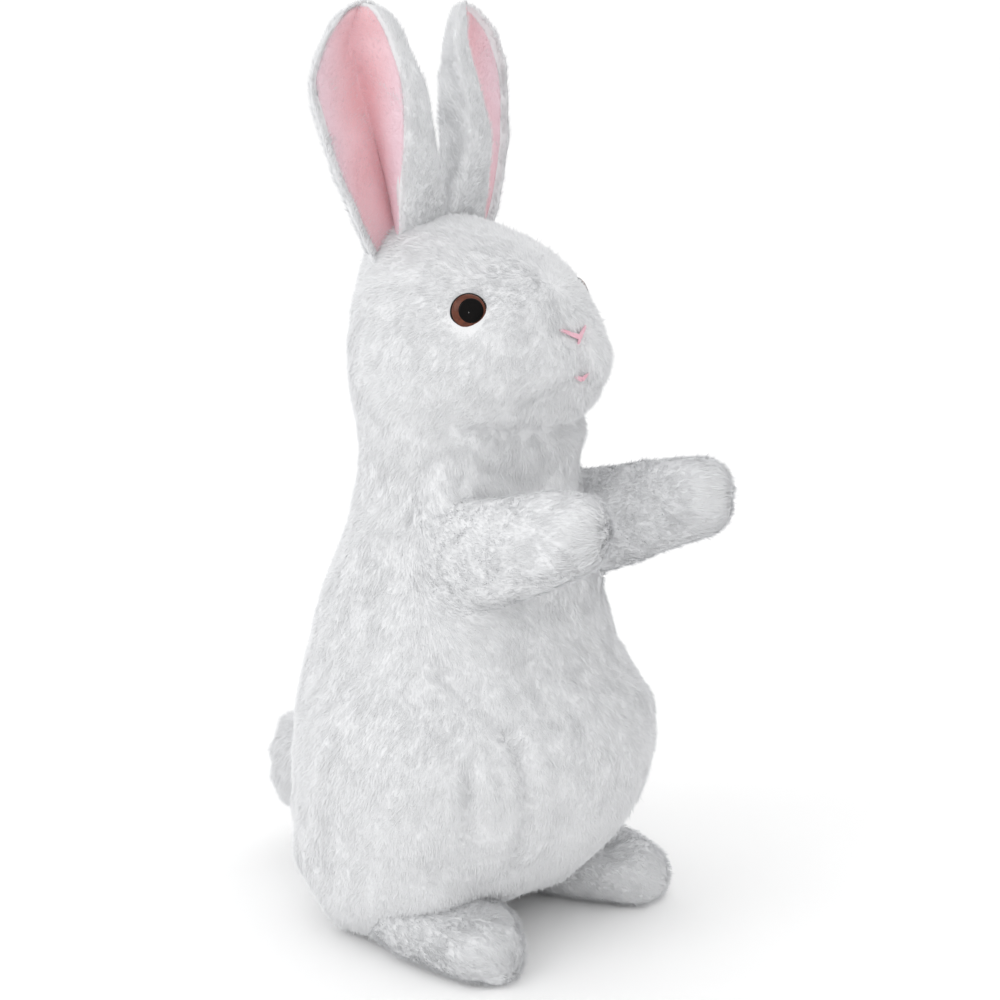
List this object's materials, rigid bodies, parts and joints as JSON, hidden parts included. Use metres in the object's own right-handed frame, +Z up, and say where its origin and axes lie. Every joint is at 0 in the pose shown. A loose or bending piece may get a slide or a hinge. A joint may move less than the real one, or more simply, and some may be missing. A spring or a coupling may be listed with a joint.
{
  "type": "stuffed bunny rabbit",
  "caption": "Upright plush rabbit with arms held forward, cupped ears, safety eyes and flat feet; head, arms and ears bend at their seams.",
  "frame": {"origin": "on the flat base panel, in the rabbit's middle plane and under its front half", "axes": "+Z up, the rabbit faces -Y, its left is +X"},
  "size_m": [0.1338, 0.19, 0.3237],
  "materials": {
    "plush_white": "short white plush pile",
    "ear_pink": "short pink velour pile",
    "eye_plastic": "clear dome over brown iris and black pupil",
    "washer_plastic": "moulded natural plastic",
    "stuffing": "polyester fibre fill",
    "pellet_cloth": "woven bag filled with plastic pellets",
    "pink_thread": "embroidery thread"
  },
  "bodies": {
    "torso": {"base_panel": "plush_white", "belly_panel": "plush_white", "back_panel_left": "plush_white", "back_panel_right": "plush_white", "torso_stuffing": "stuffing", "pellet_bag": "pellet_cloth", "tail_cover": "plush_white", "tail_stuffing": "stuffing", "left_foot_sole": "plush_white", "left_foot_top": "plush_white", "left_foot_stuffing": "stuffing", "right_foot_sole": "plush_white", "right_foot_top": "plush_white", "right_foot_stuffing": "stuffing"},
    "head": {"chin_panel": "plush_white", "head_gusset": "plush_white", "head_side_left": "plush_white", "head_side_right": "plush_white", "head_stuffing": "stuffing", "left_eye": "eye_plastic", "right_eye": "eye_plastic", "left_eye_washer": "washer_plastic", "right_eye_washer": "washer_plastic", "nose_stitching": "pink_thread", "mouth_stitching": "pink_thread"},
    "left_arm": {"left_arm_outer": "plush_white", "left_arm_inner": "plush_white", "left_arm_stuffing": "stuffing"},
    "left_ear": {"left_ear_back": "plush_white", "left_ear_lining": "ear_pink"},
    "right_arm": {"right_arm_outer": "plush_white", "right_arm_inner": "plush_white", "right_arm_stuffing": "stuffing"},
    "right_ear": {"right_ear_back": "plush_white", "right_ear_lining": "ear_pink"}
  },
  "joints": [
    {"name": "head_turn", "type": "hinge", "parent": "torso", "child": "head", "pos_m": [0, -0.01, 0.181], "axis": [0, 0, 1], "range_deg": [-35, 35], "stiffness_Nm_per_rad": 0.5},
    {"name": "left_arm_swing", "type": "hinge", "parent": "torso", "child": "left_arm", "pos_m": [0.0385, -0.014, 0.143], "axis": [-1, 0, 0], "range_deg": [-30, 12], "stiffness_Nm_per_rad": 1.2},
    {"name": "right_arm_swing", "type": "hinge", "parent": "torso", "child": "right_arm", "pos_m": [-0.0385, -0.014, 0.143], "axis": [-1, 0, 0], "range_deg": [-30, 12], "stiffness_Nm_per_rad": 1.2},
    {"name": "left_ear_bend", "type": "hinge", "parent": "head", "child": "left_ear", "pos_m": [0.0165, 0.005, 0.251], "axis": [1, 0, 0], "range_deg": [-25, 15], "stiffness_Nm_per_rad": 0.3},
    {"name": "right_ear_bend", "type": "hinge", "parent": "head", "child": "right_ear", "pos_m": [-0.0165, 0.005, 0.251], "axis": [1, 0, 0], "range_deg": [-25, 15], "stiffness_Nm_per_rad": 0.3}
  ]
}
